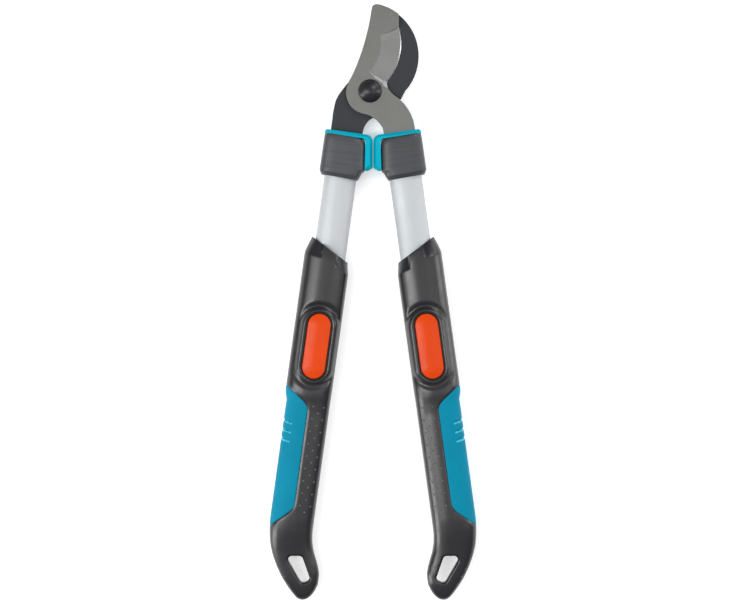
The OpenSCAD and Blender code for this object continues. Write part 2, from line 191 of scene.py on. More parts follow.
def loft(rings, looped=False):
    """Points and faces of a closed skin over rings that each hold the same number of points.

    Its ends are capped, or else the last ring is joined to the first.
    """
    count = len(rings[0])
    total = count * len(rings)
    faces = []
    for a in range(0, total if looped else total - count, count):
        b = (a + count) % total
        for i in range(count):
            j = (i + 1) % count
            faces.append((a + i, a + j, b + j, b + i))
    if not looped:
        faces.append(tuple(range(count - 1, -1, -1)))
        faces.append(tuple(range(total - count, total)))
    return np.concatenate(rings), faces


def solid(name, rings, looped=False):
    return mesh_object(name, *loft(rings, looped))


def lathe(profile, steps):
    """A solid of revolution about Z through the origin, from (radius, z) pairs."""
    angles = np.arange(steps) * 2 * pi / steps
    rings = [np.stack([r * np.cos(angles), r * np.sin(angles), np.full(steps, z)], 1) for r, z in profile]
    return loft(rings)


def offset_outline(outline, distance):
    """The outline moved inwards (it runs anticlockwise)."""
    p = np.asarray(outline, float)
    before = p - np.roll(p, 1, axis=0)
    after = np.roll(p, -1, axis=0) - p
    n1 = np.stack([-before[:, 1], before[:, 0]], 1) / norm(before, axis=1)[:, None]
    n2 = np.stack([-after[:, 1], after[:, 0]], 1) / norm(after, axis=1)[:, None]
    n = n1 + n2
    n /= np.maximum((n * n).sum(1) / 2, 0.35)[:, None]
    return p + n * distance


def level(outline, z):
    """The outline as a ring of points at one height."""
    return np.column_stack([outline, np.full(len(outline), z)])


def plate(outline, low, high, edge):
    """A flat plate with rounded edges, drawn by its outline (anticlockwise)."""
    steps = 3
    levels = []
    for k in range(steps + 1):
        a = pi / 2 * k / steps
        levels.append((edge * (1 - sin(a)), low + edge * (1 - cos(a))))
    levels += [(inset, high + low - z) for inset, z in levels[::-1]]
    return loft([level(offset_outline(outline, inset), z) for inset, z in levels])


def recalculate(obj):
    bm = bmesh.new()
    bm.from_mesh(obj.data)
    bmesh.ops.recalc_face_normals(bm, faces=bm.faces)
    bm.to_mesh(obj.data)
    bm.free()


def apply_modifiers(obj):
    bpy.context.view_layer.update()
    view = bpy.context.evaluated_depsgraph_get()
    mesh = bpy.data.meshes.new_from_object(obj.evaluated_get(view))
    obj.modifiers.clear()
    old, obj.data = obj.data, mesh
    bpy.data.meshes.remove(old)


def carve(obj, cutter, tint=None, operation="DIFFERENCE"):
    """Cuts cutter out of obj, or joins it on, and removes it. A tint is the material index of its faces."""
    if tint is not None:
        tinted(cutter, tint)
    recalculate(obj)
    recalculate(cutter)
    modifier = obj.modifiers.new("carve", "BOOLEAN")
    modifier.operation = operation
    modifier.solver = "EXACT"
    modifier.object = cutter
    apply_modifiers(obj)
    bpy.data.objects.remove(cutter)


def join(obj, other, tint=None):
    carve(obj, other, tint, "UNION")


MATERIAL_SLOTS = 3


def tinted(obj, index):
    """Gives obj its material slots, and all its faces the one with that index."""
    for k in range(MATERIAL_SLOTS):
        obj.data.materials.append(bpy.data.materials.get(f"spot_{k}") or bpy.data.materials.new(f"spot_{k}"))
    for face in obj.data.polygons:
        face.material_index = index
    return obj


def prism(outline, low, high):
    return solid("cutter", [level(outline, z) for z in (low, high)])


def round_cutter(x, y, radius, low, high, steps):
    cutter = mesh_object("cutter", *lathe([(radius, low), (radius, high)], steps))
    # turned by a hair, so that none of its edges runs along one of the piece it cuts
    cutter.data.transform(Matrix.Translation((x, y, 0)) @ Matrix.Rotation(0.011, 4, "Z"))
    return cutter


def bore(radius, low, high, steps=64):
    """A round cutter about the pivot."""
    return round_cutter(PIVOT.x, PIVOT.y, radius, low, high, steps)


def domes(spots, radius, height, foot):
    """Small domes as one mesh. Each spot is (the middle of its foot, its scale along x, y and z)."""
    profile = [(radius * sin(a), height * cos(a)) for a in (0.05, 0.5, 0.9, 1.2, 1.5)]
    dome, dome_faces = lathe(profile + [(radius, -foot)], 16)
    points, faces = [], []
    for middle, size in spots:
        faces += [tuple(i + len(points) for i in face) for face in dome_faces]
        points += [tuple(p * size + middle) for p in dome]
    return mesh_object("dots", points, faces)


SHARP_DEGREES = 32


def finish_shading(obj):
    """Smooth shading that stays crisp at sharp edges and material borders, with large faces kept flat."""
    recalculate(obj)
    obj.data.shade_smooth()
    obj.data.set_sharp_from_angle(angle=radians(SHARP_DEGREES))
    bm = bmesh.new()
    bm.from_mesh(obj.data)
    for edge in bm.edges:
        if len({face.material_index for face in edge.link_faces}) > 1:
            edge.smooth = False
    bm.to_mesh(obj.data)
    bm.free()
    modifier = obj.modifiers.new("weighted", "WEIGHTED_NORMAL")
    modifier.keep_sharp = True
    apply_modifiers(obj)


def place(shape, name, matrix, body, replaced, materials):
    """Puts a copy of shape into the part's frame, on its body and with its materials."""
    mesh = shape.data.copy()
    mesh.name = name
    obj = add_object(name, mesh)
    mesh.transform(matrix)
    if matrix.determinant() < 0:
        mesh.flip_normals()
    spots = [face.material_index for face in mesh.polygons]
    mesh.materials.clear()
    for material in materials:
        mesh.materials.append(material)
    mesh.polygons.foreach_set("material_index", spots)
    finish_shading(obj)
    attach(obj, body)
    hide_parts(replaced)
    return obj


def place_pair(shape, part, body, material_of):
    """The left piece and its mirror image. material_of(side) gives the materials."""
    pair = [
        place(shape, f"{side}_{part}_skin", matrix, f"{side}_{body}", f"{side}_{part}", material_of(side))
        for side, matrix in SIDES.items()
    ]
    bpy.data.objects.remove(shape)
    return pair


def place_one(shape, node, body, materials):
    place(shape, f"{node}_skin", TO_METRES, body, node, materials)
    bpy.data.objects.remove(shape)


# ---------- materials
def new_material(name):
    """A material, its node tree, its shader, and the point in the piece's own space."""
    material = bpy.data.materials.new(name)
    material.use_nodes = True
    tree = material.node_tree
    return material, tree, tree.nodes["Principled BSDF"], tree.nodes.new("ShaderNodeTexCoord").outputs["Object"]


def set_inputs(tree, node, inputs):
    """Links or sets the node's inputs, each given by its name or number."""
    for key, value in inputs.items():
        if isinstance(value, bpy.types.NodeSocket):
            tree.links.new(value, node.inputs[key])
        else:
            node.inputs[key].default_value = value


def add_node(tree, kind, inputs):
    node = tree.nodes.new("ShaderNode" + kind)
    set_inputs(tree, node, inputs)
    return node


def math_node(tree, kind, operation, *inputs):
    """A math or vector math node of that operation."""
    node = add_node(tree, kind, dict(enumerate(inputs)))
    node.operation = operation
    return node


def noise(tree, vector, scale, detail, roughness=0.55, stretch=None, turn=0.0):
    """A noise texture's value, with its space turned and stretched if asked."""
    if stretch is not None:
        spin = add_node(tree, "VectorRotate", {"Vector": vector, "Angle": turn})
        spin.rotation_type = "Z_AXIS"
        vector = math_node(tree, "VectorMath", "MULTIPLY", spin.outputs["Vector"], stretch).outputs["Vector"]
    inputs = {"Vector": vector, "Scale": scale, "Detail": detail, "Roughness": roughness}
    return add_node(tree, "TexNoise", inputs).outputs["Fac"]


# most of a noise's values lie between these
NOISE_LOW, NOISE_HIGH = 0.3, 0.7


def ramp(tree, value, stops):
    """A colour ramp over value. Each stop is (position, colour or grey)."""
    node = add_node(tree, "ValToRGB", {"Fac": value})
    elements = node.color_ramp.elements
    while len(elements) < len(stops):
        elements.new(0.5)
    for element, (position, colour) in zip(elements, stops):
        element.position = position
        element.color = (*([colour] * 3 if isinstance(colour, (int, float)) else colour), 1)
    return node.outputs["Color"]


def shades(tree, value, colour, dark, light, low=NOISE_LOW, high=NOISE_HIGH):
    """A ramp from a darker to a lighter shade of one colour."""
    return ramp(tree, value, [(low, shade(colour, dark)), (high, shade(colour, light))])


def scaled(tree, value, low, high):
    """A noise's usual values mapped to low..high."""
    inputs = {"Value": value, "From Min": NOISE_LOW, "From Max": NOISE_HIGH, "To Min": low, "To Max": high}
    return add_node(tree, "MapRange", inputs).outputs["Result"]


def bump(tree, shader, value, strength, distance):
    """Adds a bump to the shader, over any it has."""
    node = add_node(tree, "Bump", {"Height": value, "Strength": strength, "Distance": distance})
    old = shader.inputs["Normal"].links
    if old:
        tree.links.new(old[0].from_socket, node.inputs["Normal"])
    tree.links.new(node.outputs["Normal"], shader.inputs["Normal"])


def srgb(code):
    """Linear colour from a hexadecimal one."""
    values = [int(code[i : i + 2], 16) / 255 for i in (0, 2, 4)]
    return tuple(v / 12.92 if v <= 0.04045 else ((v + 0.055) / 1.055) ** 2.4 for v in values)


def shade(colour, factor):
    return tuple(min(1, c * factor) for c in colour)


def moulded(name, code, roughness, grain=900, grain_depth=0.00003, vary=0.05, specular=0.5, ribs=None):
    """Moulded plastic or rubber: a fine spark-eroded grain and uneven gloss.

    Its colour has faint flow marks, or else the light and dark lines of fine ribs across the direction given by the
    angle ribs: painted shading of the ribs, beside their bump.
    """
    material, tree, shader, at = new_material(name)
    colour = srgb(code)
    if ribs is None:
        tint = shades(tree, noise(tree, at, 45, 4), colour, 1 - vary, 1 + vary)
    else:
        lines = noise(tree, at, 640, 2, 0.5, (0.03, 1, 0.03), ribs)
        # the ribs' lines lighten and darken the colour: painted shading of the fine ribs, beside their bump
        tint = shades(tree, lines, colour, 0.82, 1.1, 0.32, 0.68)
        bump(tree, shader, lines, 0.5, 0.00008)
    gloss = scaled(tree, noise(tree, at, 160, 5), roughness - 0.03, roughness + 0.03)
    set_inputs(tree, shader, {"Base Color": tint, "Roughness": gloss, "Specular IOR Level": specular})
    bump(tree, shader, noise(tree, at, grain, 4, 0.6), 0.5, grain_depth)
    bump(tree, shader, noise(tree, at, 220, 2), 0.2, 0.00001)
    return material


def metal(name, code, roughness, stretch=(1, 1, 1), turn=0.0, scale=500, depth=0.00003, vary=0.1, metallic=1.0,
          speckle=0.0):
    """Steel or aluminium: fine marks along its grain, and a slightly uneven finish."""
    material, tree, shader, at = new_material(name)
    marks = noise(tree, at, scale, 6, 0.65, stretch, turn)
    tint = shades(tree, marks, srgb(code), 1 - vary, 1 + vary)
    if speckle:
        spots = ramp(tree, noise(tree, at, 2600, 3, 0.7), [(0.38, 1 - speckle), (0.5, 1.0)])
        blend = tree.nodes.new("ShaderNodeMix")
        blend.data_type = "RGBA"
        blend.blend_type = "MULTIPLY"
        set_inputs(tree, blend, {"Factor": 1, "A": tint, "B": spots})
        tint = blend.outputs["Result"]
    gloss = scaled(tree, noise(tree, at, 60, 3), roughness - 0.05, roughness + 0.07)
    set_inputs(tree, shader, {"Metallic": metallic, "Base Color": tint, "Roughness": gloss})
    bump(tree, shader, marks, 0.4, depth)
    return material


def ground_steel(name, code, roughness):
    """Ground steel: grinding lines that run out from the middle of the cutting edge's arc."""
    material, tree, shader, at = new_material(name)
    middle = tuple((PIVOT + Vector((*EDGE_CENTRE, 0))) * MM)
    spot = math_node(tree, "VectorMath", "SUBTRACT", at, middle).outputs["Vector"]
    split = add_node(tree, "SeparateXYZ", {"Vector": spot})
    angle = math_node(tree, "Math", "ARCTAN2", split.outputs["Y"], split.outputs["X"])
    length = math_node(tree, "VectorMath", "LENGTH", spot)
    reach = math_node(tree, "Math", "MULTIPLY", length.outputs["Value"], 0.6)
    join = add_node(tree, "CombineXYZ", {"X": angle.outputs["Value"], "Y": reach.outputs["Value"]})
    lines = noise(tree, join.outputs["Vector"], 150, 4, 0.6)
    tint = shades(tree, lines, srgb(code), 0.86, 1.12)
    gloss = scaled(tree, lines, roughness - 0.05, roughness + 0.08)
    set_inputs(tree, shader, {"Metallic": 1.0, "Base Color": tint, "Roughness": gloss})
    bump(tree, shader, lines, 0.3, 0.000008)
    return material


# the middle of the cutting edge's arc, from the pivot
EDGE_CENTRE = (-25, 42)
BLADE = metal("blade_steel", "737370", 0.42, scale=700, vary=0.05, speckle=0.2)
GROUND = ground_steel("ground_steel", "7a7a79", 0.36)
# a lighter copy of the ground steel for the honed bevel and the grinding's ramp: its lighter colour is a painted
# highlight, its lower roughness stands for the honed bevel's polish
EDGE_STEEL_PAINTED_HIGHLIGHT = ground_steel("edge_steel_painted_highlight", "b0b0b0", 0.3)
HOOK = metal("hook_coating", "222429", 0.5, scale=800, vary=0.06, metallic=0.3, depth=0.00002, speckle=0.12)
BOLT = metal("bolt_black", "1d1d21", 0.34, metallic=0.3, depth=0.00001)
ZINC = metal("zinc_plating", "b9bab6", 0.3, scale=300, vary=0.08)
SPRING_STEEL = metal("spring_wire", "a8a9aa", 0.25, scale=600, vary=0.08)
TUBES = {
    side: metal(f"{side}_anodised", "afb3b6", 0.48, (1, 0.02, 1), tilt, 900, 0.00001, 0.03, 0.2)
    for side, tilt in TILTS.items()
}
SLEEVE = moulded("sleeve_plastic", "111115", 0.32, grain_depth=0.000012, specular=0.57)
DARK_EDGE = moulded("sleeve_edge", "18181a", 0.4)
# one grey plastic in a lighter copy on the left collar and a darker one on the right: painted light and shade
SIDE_SHADED_COLLAR_PLASTIC = {
    side: moulded(f"{side}_collar_plastic_painted_light_and_shade", code, 0.42, ribs=TILTS[side])
    for side, code in (("left", "38393d"), ("right", "323337"))
}
# near-black plastic for the inner pieces; on the lock frame's rim round the button its darkness is also painted shade
# for the gap there
INNER = moulded("inner_plastic", "080809", 0.5, specular=0.3)
BUFFER = moulded("buffer_rubber", "009eb4", 0.6, grain=1100, specular=0.08)
GROOVE_HIGHLIGHT = moulded("grip_groove_highlight", "3fa9bf", 0.5, specular=0.3)
# a lighter cyan on the lower wall of each grip groove: painted highlight
DOTS = moulded("grip_dots", "454f4e", 0.4)
PAD = moulded("grip_rubber", "007a96", 0.56, vary=0.06, grain=1300, grain_depth=0.00004, specular=0.08)
BUTTON = moulded("button_plastic", "c93c00", 0.3, specular=0.15)


def same(*materials):
    """The same materials on both sides."""
    return lambda side: list(materials)


# ---------- jaws
# CAD points closer than this, in metres, are one point
SAME_SPOT = 5e-6


def cad_outline(node, height):
    """The outer outline of a CAD node's flat face at that height, in millimetres (clockwise on its lower face)."""
    mesh = NODES[node].data
    key_of = {}
    spots = []

    def spot(index):
        co = mesh.vertices[index].co
        key = tuple(round(value / SAME_SPOT) for value in co)
        if key not in key_of:
            key_of[key] = len(spots)
            spots.append((co.x / MM, co.y / MM))
        return key_of[key]

    free = {}
    for face in mesh.polygons:
        if abs(face.center.z / MM - height) < 0.01 and abs(face.normal.z) > 0.99:
            loop = [spot(i) for i in face.vertices]
            for a, b in zip(loop, loop[1:] + loop[:1]):
                if not free.pop((b, a), False):
                    free[(a, b)] = True
    after = dict(free.keys())
    loops = []
    while after:
        start, step = after.popitem()
        loop = [start]
        while step != start:
            loop.append(step)
            step = after.pop(step)
        loops.append(np.array([spots[i] for i in loop]))
    return max(loops, key=lambda loop: np.prod(np.ptp(loop, axis=0)))


def rounded_outline(points):
    """The outline with points added on a smooth curve between its own, but corners and long edges kept."""
    corner_degrees, long_edge, steps = 22, 14, 3
    p = np.asarray(points, float)
    n = len(p)
    before = p - np.roll(p, 1, axis=0)
    after = np.roll(p, -1, axis=0) - p
    cross = before[:, 0] * after[:, 1] - before[:, 1] * after[:, 0]
    turn = np.degrees(np.abs(np.arctan2(cross, (before * after).sum(1))))
    sharp = turn > corner_degrees
    sharp |= (norm(before, axis=1) > long_edge) | (norm(after, axis=1) > long_edge)
    result = []
    for i in range(n):
        p1, p2 = p[i], p[(i + 1) % n]
        p0 = p1 + (p1 - p2) if sharp[i] else p[i - 1]
        p3 = p2 + (p2 - p1) if sharp[(i + 1) % n] else p[(i + 2) % n]
        count = 1 if norm(p2 - p1) > long_edge else steps
        for k in range(count):
            t = k / count
            square = (2 * p0 - 5 * p1 + 4 * p2 - p3) * t * t
            cube = (3 * p1 - p0 - 3 * p2 + p3) * t**3
            result.append(0.5 * (2 * p1 + (p2 - p0) * t + square + cube))
    return np.array(result)


def blade_plate(node, low, high, edge, handle):
    """A jaw with its tang strap, and its bores for the bolt and the two tang pins."""
    outline = rounded_outline(cad_outline(node, low))[::-1]
    blade = tinted(mesh_object(node, *plate(outline, low, high, edge)), 0)
    strap = prism(rectangle(-9, -46, 9, -3), low + 0.02, high - 0.02)
    strap.data.transform(handle)
    join(blade, strap, 0)
    carve(blade, bore(SHANK_R + FIT, low - 1, high + 1), 0)
    for s in TANG_PIN_S:
        cutter = round_cutter(0, -s, TANG_PIN_R + FIT, low - 1, high + 1, 40)
        cutter.data.transform(handle)
        carve(blade, cutter, 0)
    return blade


# radii of the ground facets about the middle of the edge's arc: their start, middle, bevel and edge, and free air
GRIND_R, FACE_R, BEVEL_R, EDGE_R, CLEAR_R = 34.5, 43, 51.6, 52.3, 58
GRIND_DEPTH = 3.5
EDGE_LAND = 0.2
# the facets' two ends: degrees at a radius, and degrees more for each millimetre of radius
LOWER_END, UPPER_END = (-45.1, 36.8, 0.29), (11.1, 33.6, 0.24)
RAMP = 1.2


def grind_cutter(rows):
    """A closed cutter over floor points (radius, height), swept about the middle of the edge's arc.

    Its roof is flat. Its upper end is a wall, and its lower end a ramp.
    """
    steps = 60
    (low, low_r, low_lean), (high, high_r, high_lean) = LOWER_END, UPPER_END
    roof = BLADE_TOP + 1
    profile = [(r, z, z) for r, z in rows] + [(r, roof, z) for r, z in rows[::-1]]
    rings = []
    for k in range(steps + 1):
        ring = []
        for r, z, floor_z in profile:
            first = low + (r - low_r) * low_lean - degrees((z - floor_z) / r) * RAMP
            last = high + (r - high_r) * high_lean
            a = radians(first + (last - first) * k / steps)
            ring.append((PIVOT.x + EDGE_CENTRE[0] + r * cos(a), PIVOT.y + EDGE_CENTRE[1] + r * sin(a), z))
        rings.append(np.array(ring))
    return solid("cutter", rings)


def cutting_blade():
    blade = blade_plate("cutting_blade", MID_Z, BLADE_TOP, 0.3, IN_RIGHT)
    ground = BLADE_TOP - GRIND_DEPTH
    face = [(GRIND_R, BLADE_TOP), (FACE_R, BLADE_TOP - GRIND_DEPTH / 2), (BEVEL_R, ground), (CLEAR_R, ground)]
    carve(blade, grind_cutter(face), 1)
    # the ramp's sloping faces, and the bevel below, take the lighter edge steel: a painted highlight
    for side in blade.data.polygons:
        if side.material_index == 1 and 0.2 < side.normal.z < 0.9:
            side.material_index = 2
    bevel = [(BEVEL_R, ground + 0.01), (EDGE_R, MID_Z + EDGE_LAND), (CLEAR_R, MID_Z + EDGE_LAND)]
    carve(blade, grind_cutter(bevel), 2)
    place_one(blade, "cutting_blade", "right_half", [BLADE, GROUND, EDGE_STEEL_PAINTED_HIGHLIGHT])


def hook_blade():
    hook = blade_plate("hook_blade", HOOK_LOW, HOOK_TOP, 0.45, IN_LEFT)
    place_one(hook, "hook_blade", "left_half", [HOOK])


TURN_STEPS = 96


def turned_shape(name, profile):
    """A solid turned about the pivot. Its profile starts and ends on the axis."""
    points, faces = lathe(profile, TURN_STEPS)
    return mesh_object(name, points + (PIVOT.x, PIVOT.y, 0), faces)


def turned(name, profile, slot, material, *hole):
    """A piece on the pivot's axis, with a hole (radius, low, high) in it if that's given."""
    shape = turned_shape(name, profile)
    if hole:
        carve(shape, bore(*hole, TURN_STEPS))
    place_one(shape, name, "left_half", [material])


AXIS_R = 0.1
BOLT_TIP_R = 0.02
DOME_R = 12.6
DOME_HEIGHT = 6
WASHER = 0.6
NUT_WASHER = 1
NUT_HEIGHT = 6
NUT_ACROSS = 17
THREAD_PITCH = 1.0
THREAD_DEPTH = 0.32
RING_HEIGHT = 1.4


def pivot_pieces():
    """The bolt with its two washers, its nut and the nut's locking ring."""
    head = BLADE_TOP + FIT + WASHER
    top = head + DOME_HEIGHT
    nut_top = HOOK_LOW - NUT_WASHER
    nut_low = nut_top - NUT_HEIGHT

    profile = [(BOLT_TIP_R, top)]
    for k in range(1, 25):
        a = radians(51.8 * k / 24)
        profile.append((DOME_R * sin(a), top - DOME_R * (1 - cos(a))))
    profile += [(10.12, head + 0.75), (10.2, head + 0.6), (10.2, head + 0.15), (10.05, head), (SHANK_R, head)]
    z = nut_top
    profile.append((SHANK_R, z))
    while z > nut_low - 0.6:
        profile += [(SHANK_R - THREAD_DEPTH, z - THREAD_PITCH / 2), (SHANK_R, z - THREAD_PITCH)]
        z -= THREAD_PITCH
    profile += [(SHANK_R - 0.6, nut_low - 1), (BOLT_TIP_R, nut_low - 1)]
    turned("pivot_bolt", profile, "black_steel", BOLT)

    low = BLADE_TOP + FIT
    disc = [(AXIS_R, low), (8.9, low), (9, BLADE_TOP + 0.15), (9, head - 0.1), (8.9, head), (AXIS_R, head)]
    turned("head_washer", disc, "dark_plastic", INNER, SHANK_R + FIT, 0, OVER)

    disc = [(AXIS_R, nut_top), (9.85, nut_top), (10, nut_top + 0.15), (10, HOOK_LOW - 0.15), (9.85, HOOK_LOW)]
    turned("nut_washer", disc + [(AXIS_R, HOOK_LOW)], "zinc_steel", ZINC, SHANK_R + FIT, 0, OVER)

    corner = NUT_ACROSS / sqrt(3)
    sixths = [pi * k / 3 for k in range(6)]
    nut = prism([(PIVOT.x + corner * cos(a), PIVOT.y + corner * sin(a)) for a in sixths], nut_low, nut_top)
    chamfered = [
        (AXIS_R, nut_low - 0.5), (7.44, nut_low - 0.5), (10.2, nut_low + 1.1), (10.2, nut_top - 0.6),
        (8.9, nut_top + 0.3), (AXIS_R, nut_top + 0.3),
    ]
    carve(nut, turned_shape("cutter", chamfered), operation="INTERSECT")
    carve(nut, bore(SHANK_R + FIT, nut_low - 1, nut_top + 1))
    carve(nut, bore(SHANK_R + 1.5, nut_low - 1, nut_low + RING_HEIGHT))
    place_one(nut, "lock_nut", "left_half", [ZINC])

    ring_top = nut_low + RING_HEIGHT
    disc = [(AXIS_R, nut_low), (6.3, nut_low), (6.5, nut_low + 0.2), (6.5, ring_top), (AXIS_R, ring_top)]
    turned("nut_locking_ring", disc, "soft_blue", BUFFER, SHANK_R, nut_low - 1, nut_low + 3)


# ---------- tubes, collars and buffers
TUBE_A, TUBE_B, TUBE_POWER = 14.2, 9, 2.2
TUBE_WALL = 1.5
TUBE_START, TUBE_END = 4, 342
TOOTH_S = ROCKER_S - 21.5
LOCK_HOLE_S = [TOOTH_S + 25 * k for k in range(7)]
LOCK_HOLE_R = 4.3


def oval_ring(s, grow):
    """The tube's section at s, made larger by grow."""
    o = oval(TUBE_A + grow, TUBE_B + grow, TUBE_POWER, 96)
    return np.column_stack([o[:, 0], np.full(len(o), -s), o[:, 1] + MID_Z])


def tube():
    rings = [
        oval_ring(TUBE_START, -0.35), oval_ring(TUBE_START + 0.35, 0), oval_ring(TUBE_END - 0.35, 0),
        oval_ring(TUBE_END, -0.35), oval_ring(TUBE_END, -TUBE_WALL), oval_ring(TUBE_START, -TUBE_WALL),
    ]
    shape = tinted(solid("tube", rings, looped=True), 0)
    for s in LOCK_HOLE_S:
        carve(shape, round_cutter(ROCKER_X, -s, LOCK_HOLE_R, MID_Z, 2 * MID_Z, 48), 0)
    for s in TANG_PIN_S:
        carve(shape, round_cutter(0, -s, TANG_PIN_R + FIT, -1, 2 * MID_Z + 1, 32), 0)
    place_pair(shape, "tube", "half", lambda side: [TUBES[side]])


COLLAR = [
    # s, outer x, inner x, half thickness
    (2.1, -17.4, 13.2, 12.6), (2.4, -18.1, 14.4, 13.3), (3.4, -18.6, 16.2, 13.9), (5, -18.75, 17.25, 14.25),
    (7, -18.8, 17.7, 14.4), (20, -18.9, 19.25, 14.5), (29.3, -18.95, 20.1, 14.5), (31.8, -19, 18.3, 14.5),
    (34, -19, 17.4, 14.45), (35.2, -19, 17.1, 14.35),
]
# s and inset of the thin lip at the collar's lower end
COLLAR_LIP = [(35.4, 0.7), (35.7, 0.75), (36.0, 0.6), (38.0, 2.2), (38.5, 2.9), (38.75, 3.6)]
COLLAR_START, COLLAR_END = COLLAR[0][0], COLLAR[-1][0]
COLLAR_TILT = 0.04
COLLAR_POWER = 4.6


def tang_slot(y0, y1, low, high):
    """A cutter for the slot that a blade's tang goes through."""
    return prism(rectangle(-14.1, y0, 14.1, y1), low - FIT, high + FIT)


def collar(low, high):
    """The moulded collar, with a thin lip at its lower end."""
    rings = []

    def ring(s, x0, x1, half):
        o = oval((x1 - x0) / 2, half, COLLAR_POWER, 112)
        x = o[:, 0] + (x0 + x1) / 2
        rings.append(np.column_stack([x, -s - COLLAR_TILT * x, o[:, 1] + MID_Z]))

    for s in [*np.arange(COLLAR_START, COLLAR_END, 0.6), COLLAR_END]:
        ring(s, *(smooth_curve(COLLAR, column, s) for column in (1, 2, 3)))
    for s, inset in COLLAR_LIP:
        ring(s, -18.95 + 0.7 * inset, 16.9 - 0.45 * inset - 0.1 * (s - COLLAR_END), 14.3 - inset)
    shape = tinted(solid("collar", rings), 0)
    carve(shape, solid("cutter", [oval_ring(s, 0.12) for s in (TUBE_START - 0.1, 42)]), 1)
    carve(shape, tang_slot(-TUBE_START - 1, 5, low, high), 1)
    return shape


BUFFER_TOP = -1.8
BUFFER_END = 29.4


def meet_x(s):
    """Where the closed buffers meet: the plane X = 0, less half of the gap between them."""
    return (-HANDLE_ORIGIN.x + s * sin(HANDLE_TILT)) / cos(HANDLE_TILT) - 0.25


def moved_corners(corners, insets):
    """Corners of an anticlockwise polygon once the edge after each one has moved inwards by its inset."""
    p = np.asarray(corners, float)
    step = np.roll(p, -1, axis=0) - p
    normal = np.stack([-step[:, 1], step[:, 0]], 1) / norm(step, axis=1)[:, None]
    reach = (normal * p).sum(1) + insets
    return [np.linalg.solve([normal[i - 1], normal[i]], [reach[i - 1], reach[i]]) for i in range(len(p))]


def filleted(corners, radii):
    """The outline of a polygon with each corner rounded to its own radius."""
    steps = 5
    result = []
    for i, b in enumerate(corners):
        u, v = corners[i - 1] - b, corners[(i + 1) % len(corners)] - b
        u, v = u / norm(u), v / norm(v)
        half = acos(float(u @ v)) / 2
        centre = b + (u + v) / norm(u + v) * radii[i] / sin(half)
        first, last = (b + w * radii[i] / tan(half) - centre for w in (u, v))
        start = atan2(first[1], first[0])
        turn = (atan2(last[1], last[0]) - start + pi) % (2 * pi) - pi
        for k in range(steps + 1):
            a = start + turn * k / steps
            result.append(centre + radii[i] * np.array([cos(a), sin(a)]))
    return np.array(result)


def buffer(tang_low, tang_high):
    """The soft bumper: an L over the collar's top and inner side, chamfered along its free side."""
    chamfer_s = 26
    end_x = meet_x(chamfer_s)
    corners = [
        (20.1, -BUFFER_END), (end_x - 3.9, -BUFFER_END), (end_x, -chamfer_s), (meet_x(BUFFER_TOP), -BUFFER_TOP),
        (-17.2, -BUFFER_TOP), (-18.8, 0.2), (-18.8, -2.1), (17.3, -2.2),
    ]
    radii = np.array([0.3, 0.5, 0.8, 6, 0.8, 0.8, 0.2, 3.6])
    # how much of the inset each edge moves by, and each corner's radius shrinks by
    moves = np.array([0.25, 1, 1, 1, 0.5, 0.5, 0, 0])
    shrinks = np.array([0, 0, 0, 1, 0, 0, 0, 0])
    levels = [(2.9, 2.1), (2.75, 2.15), (2.55, 2.4), (0.2, 6.0), (0.05, 6.6), (0.0, 7.4)]
    levels += [(inset, 2 * MID_Z - 2 - z) for inset, z in levels[::-1]]
    rings = [level(filleted(moved_corners(corners, inset * moves), radii - shrinks * inset), z) for inset, z in levels]
    shape = solid("buffer", rings)
    carve(shape, tang_slot(-5, 9, tang_low, tang_high))
    return shape


def collars_and_buffers():
    for side, low, high in (("left", HOOK_LOW, HOOK_TOP), ("right", MID_Z, BLADE_TOP)):
        for part, shape, slot, materials in (
            ("collar", collar(low, high), "grey_plastic", [SIDE_SHADED_COLLAR_PLASTIC[side], INNER]),
            ("buffer", buffer(low, high), "soft_blue", [BUFFER]),
        ):
            place(shape, f"{side}_{part}_skin", SIDES[side], f"{side}_half", f"{side}_{part}", materials)
            bpy.data.objects.remove(shape)


# ---------- sleeves
MOUTH_S, MOUTH_LEAN = 102.6, 0.555
SLEEVE_END = 409.4
FULL_OUT, FULL_IN, FULL_HALF = -22.2, 18.3, 15.5
STATIONS = [
    # s, lean, outer x, inner x, half thickness
    (MOUTH_S, MOUTH_LEAN, -17.2, 16.3, 14.6), (106, 0.53, -18.5, 16.85, 15.1), (110, 0.48, -20.1, 17.5, 15.4),
    (114.3, 0.41, -21.75, 18.15, FULL_HALF), (116, 0.37, FULL_OUT, FULL_IN, FULL_HALF),
    (130, 0, FULL_OUT, FULL_IN, FULL_HALF), (222, 0, -22.4, 18.2, FULL_HALF),
    (230, 0, -22.0, 18.1, 15.3), (238, 0, -20.2, 18, 14.5), (248, 0, -20.3, 18, 14),
    (338, 0, -20.33, 17.9, 14), (348, 0, -20.03, 18, 13.5), (356, 0, -19.02, 18.7, 12.6),
    (364, 0, -17.4, 20.6, 11.4), (372, 0, -14.6, 23.9, 10.3), (380, 0, -10.8, 27.2, 9.5),
    (387, 0, -6.7, 28.8, 9), (393, 0, -2.6, 28.8, 8.5), (398, 0, 1.5, 27.6, 7.8),
    (402.5, 0, 5.6, 25.7, 6.8), (406, 0, 9.2, 23.2, 5.4), (408.4, 0, 12.2, 20.4, 3.5),
    (SLEEVE_END, 0, 14.6, 17.9, 1.6),
]
SECTION_POWER = 2.8
BACK_EXTRA = 0.7
PAD_DEPTH = 2.0
BUTTON_HALF = 28.5
BUTTON_R = 10.1
HOLE_FILLET = 2.2
HOLE = hull_of_circles([(3.6, -375.6, 3.6), (9.6, -374.8, 3.6), (15.4, -390.4, 3.8), (16.9, -389.6, 3.8)])


